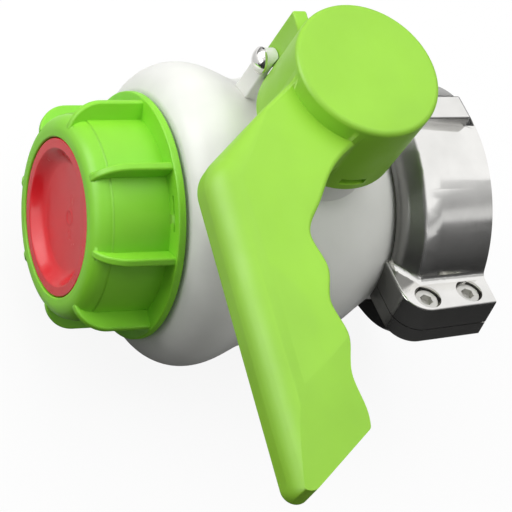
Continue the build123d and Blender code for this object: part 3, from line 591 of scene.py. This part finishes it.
def thread_tree():
    """Helical ridge round the flow axis: a trapezoid that follows a spiral and fades at both ends."""
    number = "NodeSocketFloat"
    tree, given, result = new_tree("helical_thread", {
        "Root Radius": number, "Pitch": number, "Turns": number, "Start": number, "Depth": number,
        "Root Width": number, "Crest Width": number, "Outward": number, "Finish": "NodeSocketMaterial"})
    link = tree.links.new
    spiral = tree.nodes.new("GeometryNodeCurveSpiral")
    spiral.inputs["Resolution"].default_value = THREAD_STEPS
    link(given["Turns"], spiral.inputs["Rotations"])
    link(given["Root Radius"], spiral.inputs["Start Radius"])
    link(given["Root Radius"], spiral.inputs["End Radius"])
    link(calculate(tree, "MULTIPLY", given["Pitch"], given["Turns"]), spiral.inputs["Height"])
    upright = tree.nodes.new("GeometryNodeSetCurveNormal")
    upright.mode = "Z_UP"
    link(spiral.outputs["Curve"], upright.inputs["Curve"])

    profile = tree.nodes.new("GeometryNodeCurvePrimitiveQuadrilateral")
    profile.mode = "TRAPEZOID"
    link(given["Depth"], profile.inputs["Height"])
    link(given["Root Width"], profile.inputs["Bottom Width"])
    link(given["Crest Width"], profile.inputs["Top Width"])
    profile.inputs["Offset"].default_value = 0
    rest = tree.nodes.new("ShaderNodeCombineXYZ")
    link(calculate(tree, "DIVIDE", given["Depth"], 2), rest.inputs["Y"])
    raised = tree.nodes.new("GeometryNodeTransform")
    link(profile.outputs["Curve"], raised.inputs["Geometry"])
    link(rest.outputs["Vector"], raised.inputs["Translation"])
    lean = tree.nodes.new("ShaderNodeCombineXYZ")
    link(calculate(tree, "MULTIPLY", given["Outward"], -math.pi / 2), lean.inputs["Z"])
    outward = tree.nodes.new("GeometryNodeTransform")
    link(raised.outputs["Geometry"], outward.inputs["Geometry"])
    link(lean.outputs["Vector"], outward.inputs["Rotation"])

    along = tree.nodes.new("GeometryNodeSplineParameter").outputs["Factor"]
    left = calculate(tree, "SUBTRACT", 1, along)
    nearest_end = calculate(tree, "MINIMUM", along, left)
    grown = calculate(tree, "MULTIPLY_ADD", nearest_end, THREAD_GROWTH, THREAD_TIP)
    fade = calculate(tree, "MINIMUM", grown, 1)
    ridge = tree.nodes.new("GeometryNodeCurveToMesh")
    ridge.inputs["Fill Caps"].default_value = True
    link(upright.outputs["Curve"], ridge.inputs["Curve"])
    link(outward.outputs["Geometry"], ridge.inputs["Profile Curve"])
    link(fade, ridge.inputs["Scale"])

    start = tree.nodes.new("ShaderNodeCombineXYZ")
    link(given["Start"], start.inputs["Y"])
    laid = tree.nodes.new("GeometryNodeTransform")
    laid.inputs["Rotation"].default_value = (math.pi / 2, 0, 0)
    link(ridge.outputs["Mesh"], laid.inputs["Geometry"])
    link(start.outputs["Vector"], laid.inputs["Translation"])
    finished(tree, laid.outputs["Geometry"], given["Finish"], result)
    return tree


def bolt_tree():
    """One bolt on every point, turned to the clamp's tilt."""
    tree, given, result = new_tree("bolt_set", {
        "Bolt": "NodeSocketObject", "Tilt": "NodeSocketFloat", "Finish": "NodeSocketMaterial"})
    blank = tree.nodes.new("GeometryNodeObjectInfo")
    tree.links.new(given["Bolt"], blank.inputs["Object"])
    turn = tree.nodes.new("ShaderNodeCombineXYZ")
    tree.links.new(given["Tilt"], turn.inputs["Y"])
    places = tree.nodes.new("GeometryNodeInstanceOnPoints")
    tree.links.new(given["Geometry"], places.inputs["Points"])
    tree.links.new(blank.outputs["Geometry"], places.inputs["Instance"])
    tree.links.new(turn.outputs["Vector"], places.inputs["Rotation"])
    finished(tree, places.outputs["Instances"], given["Finish"], result)
    return tree


def baked(name, mesh, tree, values):
    """Plain mesh object of what a tree makes from a mesh and its named values."""
    host = link_mesh(name + "_host", mesh)
    modifier = host.modifiers.new("maker", "NODES")
    modifier.node_group = tree
    for item in tree.interface.items_tree:
        if item.in_out == "INPUT" and item.name in values:
            modifier[item.identifier] = values[item.name]
    ready = host.evaluated_get(bpy.context.evaluated_depsgraph_get())
    made = bpy.data.meshes.new_from_object(ready)
    bpy.data.objects.remove(host)
    made.name = name
    if not made.polygons:
        raise RuntimeError(name + " came out empty")
    shape = bmesh.new()
    shape.from_mesh(made)
    bmesh.ops.remove_doubles(shape, verts=shape.verts, dist=JOIN_GAP / 2)
    bmesh.ops.recalc_face_normals(shape, faces=shape.faces)
    shape.to_mesh(made)
    shape.free()
    return link_mesh(name, made)


def thread_ridge(name, tree, body, slot, material, values):
    """One helical thread on a body."""
    settings = bpy.context.scene.outlet_thread
    sizes = {
        "Pitch": settings.pitch, "Depth": settings.depth,
        "Root Width": settings.root_width, "Crest Width": settings.crest_width,
        "Finish": finish(material), **values}
    ridge = baked(name, bpy.data.meshes.new(name), tree, sizes)
    shade(ridge)
    dress(ridge, body, slot, material)


# Operators

class VALVE_OT_body(bpy.types.Operator):
    """Make the white body, its neck and the outlet spigot"""

    bl_idname = "valve.body"
    bl_label = "White Body"

    def execute(self, context):
        dress_node("valve_body", "white_body", "natural_white")
        dress_node("inlet_neck", "welded_neck", "natural_white")
        dress_node("outlet_end_piece", "outlet_spigot", "natural_white", reshape=self.thread_core)
        return {"FINISHED"}

    def thread_core(self, shape):
        """Bring the spigot's plain outside down to the root of its thread."""
        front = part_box("outlet_end_piece")[0][1]
        depth = bpy.context.scene.outlet_thread.depth
        slack = 0.1 * MM
        for point in shape.verts:
            radius = math.hypot(point.co.x, point.co.z)
            on_spigot = point.co.y < front + SPIGOT_LENGTH + slack
            if on_spigot and SPIGOT_R - SPIGOT_EDGE < radius < SPIGOT_R + slack:
                share = (radius - depth) / radius
                point.co.x *= share
                point.co.z *= share


class VALVE_OT_handle(bpy.types.Operator):
    """Make the lever handle"""

    bl_idname = "valve.handle"
    bl_label = "Lever Handle"

    def execute(self, context):
        dress_node("handle", "lever_handle", "lever_green")
        return {"FINISHED"}


class VALVE_OT_cap(bpy.types.Operator):
    """Make the outlet cap with its closing disc"""

    bl_idname = "valve.cap"
    bl_label = "Outlet Cap"

    def execute(self, context):
        dress_node("cap_ring", "ribbed_cap_ring", "cap_green")
        dress_node("cap_disc", "closing_disc", "red_moulding", reshape=self.pan)
        return {"FINISHED"}

    def pan(self, shape):
        """Turn the plain hollow into a pan with a steep round wall and a nearly flat floor."""
        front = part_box("cap_disc")[0][1]
        ball_r = (DISH_R**2 + DISH_DEPTH**2) / (2 * DISH_DEPTH)
        middle = Vector((0, front + DISH_DEPTH - ball_r, 0))
        slack = 0.04 * MM
        on_ball = {point for point in shape.verts if abs((point.co - middle).length - ball_r) < slack
                   and math.hypot(point.co.x, point.co.z) < DISH_R + slack and point.co.y > front - slack}
        hollow = [face for face in shape.faces if on_ball.issuperset(face.verts)]
        bmesh.ops.delete(shape, geom=hollow, context="FACES")
        open_edges = [edge for edge in shape.edges if edge.is_boundary]
        if not open_edges:
            raise RuntimeError("the closing disc has no hollow to finish")
        loop = sorted({point for edge in open_edges for point in edge.verts},
                      key=lambda point: math.atan2(point.co.z, point.co.x))
        turns = [math.atan2(point.co.z, point.co.x) for point in loop]
        foot = DISH_R - PAN_EDGE - PAN_WALL
        gate = GATE_R + 3 * GATE_WIDTH
        wall_radii = self.steps(DISH_R - PAN_EDGE, foot, WALL_RINGS)
        floor_radii = self.steps(foot, gate, FLOOR_RINGS)
        gate_radii = self.steps(gate, 0, GATE_RINGS)
        for radius in (*wall_radii, *floor_radii, *gate_radii):
            depth = front + self.pan_depth(radius)
            places = [(radius * math.cos(turn), depth, radius * math.sin(turn)) for turn in turns]
            ring = [shape.verts.new(place) for place in places]
            self.bridge(shape, loop, ring)
            loop = ring
        self.bridge(shape, loop, [shape.verts.new((0, front + self.pan_depth(0), 0))] * len(loop))

    def steps(self, first, last, count):
        """Even steps from one radius up to, but without, another."""
        return [first + (last - first) * index / count for index in range(count)]

    def pan_depth(self, radius):
        """Depth of the finished hollow at a distance from its axis."""
        foot = DISH_R - PAN_EDGE - PAN_WALL
        across = min(1, (foot + PAN_WALL - radius) / PAN_WALL) ** WALL_LEAN
        wall = PAN_DEPTH * across * across * (3 - 2 * across)
        sag = PAN_SAG * (1 - min(1, radius / foot) ** 2)
        gate = GATE_HEIGHT * math.exp(-((radius - GATE_R) / GATE_WIDTH) ** 2)
        return wall + sag - gate

    def bridge(self, shape, outer, inner):
        """Faces between two rings, turned to the front."""
        for index in range(len(outer)):
            corners = dict.fromkeys((outer[index - 1], outer[index], inner[index], inner[index - 1]))
            face = shape.faces.new(corners)
            face.normal_update()
            if face.normal.y > 0:
                face.normal_flip()


class VALVE_OT_threads(bpy.types.Operator):
    """Make the outlet's thread and the thread inside the cap"""

    bl_idname = "valve.threads"
    bl_label = "Threads"

    def execute(self, context):
        settings = context.scene.outlet_thread
        tree = thread_tree()
        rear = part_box("cap_ring")[1][1]
        thread_ridge("spigot_thread", tree, "valve", "white_plastic", "natural_white", {
            "Root Radius": SPIGOT_R - settings.depth - SINK, "Start": rear - THREAD_START,
            "Turns": settings.turns, "Outward": 1})
        thread_ridge("cap_thread", tree, "cap_ring", "green_plastic", "cap_green", {
            "Root Radius": CAP_BORE_R + SINK, "Start": rear - THREAD_START - settings.pitch / 2,
            "Turns": settings.cap_turns, "Outward": -1})
        return {"FINISHED"}


class VALVE_OT_clamp(bpy.types.Operator):
    """Make the two halves of the tank clamp"""

    bl_idname = "valve.clamp"
    bl_label = "Tank Clamp"

    def execute(self, context):
        dress_node("clamp_upper_half", "clamp_upper", "polished_casting")
        dress_node("clamp_lower_half", "clamp_lower", "polished_casting")
        return {"FINISHED"}


class VALVE_OT_fasteners(bpy.types.Operator):
    """Make the clamp bolts and the lock screw"""

    bl_idname = "valve.fasteners"
    bl_label = "Bolts and Screw"

    def execute(self, context):
        tilt = Matrix.Rotation(-CLAMP_TILT, 4, "Y")
        places = bpy.data.meshes.new("bolt_places")
        spots = [tilt @ Vector((side * x, y, 0)) for side in (1, -1) for x, y in BOLT_PLACES]
        places.from_pydata(spots, [], [])
        blank = link_mesh("bolt_blank", self.bolt_mesh(context.scene.clamp_bolts))
        bolts = baked("clamp_bolt_set", places, bolt_tree(), {
            "Bolt": blank, "Tilt": -CLAMP_TILT, "Finish": finish("bolt_steel")})
        bpy.data.objects.remove(blank)
        shade(bolts)
        dress(bolts, "valve", "bolt_steel", "bolt_steel", "clamp_bolts")
        dress_node("lock_screw", "dome_lock_screw", "plated_screw")
        return {"FINISHED"}

    def bolt_mesh(self, sizes):
        """Socket head bolt about the upright axis, with its height measured from the clamp's split."""
        count = BOLT_STEPS
        edge = BOLT_EDGE
        top = BOLT_SEAT + sizes.head_height
        mouth = sizes.key / math.sqrt(3) + SOCKET_LEAD
        rings = [
            circle(0, BOLT_END, count),
            circle(sizes.shank - edge, BOLT_END, count),
            circle(sizes.shank, BOLT_END + edge, count),
            circle(sizes.shank, BOLT_SEAT, count),
            circle(sizes.head, BOLT_SEAT, count),
            circle(sizes.head, top - edge, count),
            circle(sizes.head - edge / 3, top - edge / 3, count),
            circle(sizes.head - edge, top, count),
            circle(mouth, top, count),
            hexagon(sizes.key, top - edge / 2, count),
            hexagon(sizes.key, top - SOCKET_DEPTH, count),
            circle(0, top - SOCKET_DEPTH - edge, count),
        ]
        shape = bmesh.new()
        ring_loft(shape, rings)
        mesh = bpy.data.meshes.new("bolt_blank")
        shape.to_mesh(mesh)
        shape.free()
        return mesh


class VALVE_OT_inner_parts(bpy.types.Operator):
    """Give the ball, seats, stem and seals their finishes"""

    bl_idname = "valve.inner_parts"
    bl_label = "Inner Parts"

    finishes = {
        "seal_rubber": "seal_rubber",
        "ball_plastic": "ball_white",
        "seat_plastic": "seat_white",
        "stem_plastic": "stem_grey",
    }

    def execute(self, context):
        for node, piece in frame["nodes"].items():
            if node_slot(node) in self.finishes:
                piece.data.materials.clear()
                piece.data.materials.append(finish(self.finishes[node_slot(node)]))
        return {"FINISHED"}


class VALVE_OT_stage(bpy.types.Operator):
    """Set the floor, the studio light and the camera"""

    bl_idname = "valve.stage"
    bl_label = "Studio"

    def execute(self, context):
        settings = context.scene.studio_light
        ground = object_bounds()[0][2]
        self.floor(ground)
        self.cards(ground)
        self.world(context.scene, settings)
        key = self.lamp("key_softbox", KEY_SIDE, KEY_DISTANCE, KEY_SIZE, settings.key)
        key.visible_glossy = False
        self.lamp("front_fill", FILL_SIDE, FILL_DISTANCE, FILL_SIZE, settings.fill)
        self.camera(context.scene)
        return {"FINISHED"}

    def cards(self, ground):
        """Dark, grey and pale cards and a light strip, which the metal and the plastics mirror."""
        height = ground + CARD_LIFT
        self.floor_card("near_flag", NEAR_FLAG, height, NEAR_GREY)
        self.floor_card("back_flag", BACK_FLAG, height, BACK_GREY)
        self.floor_card("front_flag", FRONT_FLAG, height, FRONT_GREY)
        dark = self.card_paint("dark_card", DARK_STEPS)
        pale = self.card_paint("pale_card", PALE_STEPS)
        strip = self.card_paint("strip", EVEN_STEPS, STRIP_GLOW)
        self.curved_card("side_card", *SIDE_CARD, dark)
        self.curved_card("far_card", *FAR_CARD, dark)
        self.curved_card("left_card", *LEFT_CARD, pale)
        self.curved_card("front_strip", *FRONT_STRIP, strip)

    def paper(self, name, grey):
        """Dull grey material without gloss; returns material, tree and shader."""
        material, tree, shader = new_material(name)
        shader.inputs["Base Color"].default_value = (grey, grey, grey, 1)
        shader.inputs["Roughness"].default_value = PAPER_ROUGH
        shader.inputs["Specular IOR Level"].default_value = 0
        return material, tree, shader

    def floor_card(self, name, outline, height, grey):
        """Flat card just above the floor."""
        material = self.paper(name, grey)[0]
        self.card(name, [(x, y, height) for x, y in outline], [tuple(range(len(outline)))], material)

    def curved_card(self, name, across, upright, material):
        """Part of a ball round the object between two turns and two heights, in degrees."""
        points = []
        for row in range(CARD_ROWS + 1):
            lift = math.radians(upright[0] + (upright[1] - upright[0]) * row / CARD_ROWS)
            level = CARD_R * math.cos(lift)
            for column in range(CARD_COLUMNS + 1):
                turn = math.radians(across[0] + (across[1] - across[0]) * column / CARD_COLUMNS)
                points.append((level * math.cos(turn), level * math.sin(turn), CARD_R * math.sin(lift)))
        width = CARD_COLUMNS + 1
        corners = [row * width + column for row in range(CARD_ROWS) for column in range(CARD_COLUMNS)]
        faces = [(first, first + 1, first + width + 1, first + width) for first in corners]
        self.card(name, points, faces, material)

    def card(self, name, points, faces, material):
        """Sheet beside the object that the camera and the shadows leave out."""
        mesh = bpy.data.meshes.new(name)
        mesh.from_pydata(points, [], faces)
        mesh.materials.append(material)
        card = link_mesh(name, mesh)
        card.visible_camera = False
        card.visible_shadow = False
        card.visible_diffuse = False
        card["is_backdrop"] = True

    def card_paint(self, name, greys, strength=1):
        """Glowing paint whose grey changes with the height, a share of the ball's radius."""
        material, tree, _ = new_material(name)
        place = tree.nodes.new("ShaderNodeTexCoord")
        apart = tree.nodes.new("ShaderNodeSeparateXYZ")
        ramp = tree.nodes.new("ShaderNodeValToRGB")
        glow = add_node(tree, "ShaderNodeEmission", Strength=strength)
        steps = ramp.color_ramp.elements
        while len(steps) < len(greys):
            steps.new(1)
        for step, (height, grey) in zip(steps, greys):
            step.position = height
            step.color = (grey, grey, grey, 1)
        tree.links.new(place.outputs["Object"], apart.inputs["Vector"])
        tree.links.new(ramp_between(tree, apart.outputs["Z"], 0, CARD_R), ramp.inputs["Fac"])
        tree.links.new(ramp.outputs["Color"], glow.inputs["Color"])
        tree.links.new(glow.outputs["Emission"], tree.nodes["Material Output"].inputs["Surface"])
        return material

    def floor(self, height):
        """Pale floor that the camera sees as white, with the object's shadow kept faintly."""
        size = FLOOR_HALF
        mesh = bpy.data.meshes.new("pale_floor")
        corners = [(-size, -size, height), (size, -size, height),
                   (size, size, height), (-size, size, height)]
        mesh.from_pydata(corners, [], [(0, 1, 2, 3)])
        floor = link_mesh("pale_floor", mesh)
        material, tree, shader = self.paper("pale_floor", FLOOR_GREY)
        glow = tree.nodes.new("ShaderNodeEmission")
        mix = tree.nodes.new("ShaderNodeMixShader")
        tree.links.new(calculate(tree, "MULTIPLY", seen_directly(tree), FLOOR_GLOW), mix.inputs[0])
        tree.links.new(shader.outputs["BSDF"], mix.inputs[1])
        tree.links.new(glow.outputs["Emission"], mix.inputs[2])
        tree.links.new(mix.outputs["Shader"], tree.nodes["Material Output"].inputs["Surface"])
        mesh.materials.append(material)
        floor.visible_diffuse = False
        floor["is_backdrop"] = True

    def world(self, scene, settings):
        """Sky light that is stronger on one side, and white where it is seen."""
        world = bpy.data.worlds.new("studio")
        world.use_nodes = True
        tree = world.node_tree
        back = tree.nodes["Background"]
        back.inputs["Color"].default_value = (1, 1, 1, 1)
        place = tree.nodes.new("ShaderNodeTexCoord")
        side = tree.nodes.new("ShaderNodeVectorMath")
        side.operation = "DOT_PRODUCT"
        side.inputs[1].default_value = Vector(SKY_SIDE).normalized()
        sky = add_node(tree, "ShaderNodeMapRange", From_Min=SKY_DARK, From_Max=SKY_BRIGHT,
                       To_Min=settings.shade, To_Max=settings.ambient)
        sky.interpolation_type = "SMOOTHSTEP"
        white = tree.nodes.new("ShaderNodeMix")
        white.inputs["B"].default_value = 1
        tree.links.new(place.outputs["Generated"], side.inputs[0])
        tree.links.new(side.outputs["Value"], sky.inputs["Value"])
        tree.links.new(seen_directly(tree), white.inputs["Factor"])
        tree.links.new(sky.outputs["Result"], white.inputs["A"])
        tree.links.new(white.outputs["Result"], back.inputs["Strength"])
        scene.world = world
        scene.view_settings.view_transform = "Standard"

    def lamp(self, name, direction, distance, size, power):
        """Square soft lamp that looks at the middle of the object."""
        data = bpy.data.lights.new(name, "AREA")
        data.shape = "SQUARE"
        data.size = size
        data.energy = power
        lamp = bpy.data.objects.new(name, data)
        away = Vector(direction).normalized()
        lamp.location = Vector(LAMP_AIM) + away * distance
        lamp.rotation_euler = away.to_track_quat("Z", "Y").to_euler()
        bpy.context.scene.collection.objects.link(lamp)
        return lamp

    def camera(self, scene):
        """Camera where the photograph was taken from."""
        data = bpy.data.cameras.new("photo_camera")
        data.lens = CAMERA_LENS
        data.sensor_width = CAMERA_SENSOR
        data.clip_end = CAMERA_REACH
        camera = bpy.data.objects.new("photo_camera", data)
        turn = Matrix((CAMERA_RIGHT, CAMERA_UP, CAMERA_BACK)).transposed()
        camera.matrix_world = Matrix.Translation(CAMERA_PLACE) @ turn.to_4x4()
        scene.collection.objects.link(camera)
        scene.camera = camera


class VALVE_PT_pieces(bpy.types.Panel):
    """Buttons that dress the valve, in the order in which they run"""

    bl_idname = "VALVE_PT_pieces"
    bl_label = "Ball Valve"
    bl_space_type = "VIEW_3D"
    bl_region_type = "UI"
    bl_category = "Ball Valve"

    def draw(self, context):
        for operator in PIECES:
            self.layout.operator(operator.bl_idname)


PIECES = (
    VALVE_OT_body,
    VALVE_OT_handle,
    VALVE_OT_cap,
    VALVE_OT_threads,
    VALVE_OT_clamp,
    VALVE_OT_fasteners,
    VALVE_OT_inner_parts,
    VALVE_OT_stage,
)
SETTINGS = {
    "valve_finishes": ValveFinishes,
    "outlet_thread": OutletThread,
    "clamp_bolts": ClampBolts,
    "studio_light": StudioLight,
}


def register():
    """Register the settings, the operators and the panel."""
    for name, group in SETTINGS.items():
        bpy.utils.register_class(group)
        setattr(bpy.types.Scene, name, PointerProperty(type=group))
    for item in (*PIECES, VALVE_PT_pieces):
        bpy.utils.register_class(item)


def unregister():
    """Take back everything that register added."""
    for item in (VALVE_PT_pieces, *reversed(PIECES)):
        bpy.utils.unregister_class(item)
    for name, group in SETTINGS.items():
        delattr(bpy.types.Scene, name)
        bpy.utils.unregister_class(group)


def main():
    """Dress the valve piece by piece."""
    register()
    bpy.ops.valve.body()
    bpy.ops.valve.handle()
    bpy.ops.valve.cap()
    bpy.ops.valve.threads()
    bpy.ops.valve.clamp()
    bpy.ops.valve.fasteners()
    bpy.ops.valve.inner_parts()
    bpy.ops.valve.stage()


if __name__ == "__main__":
    main()
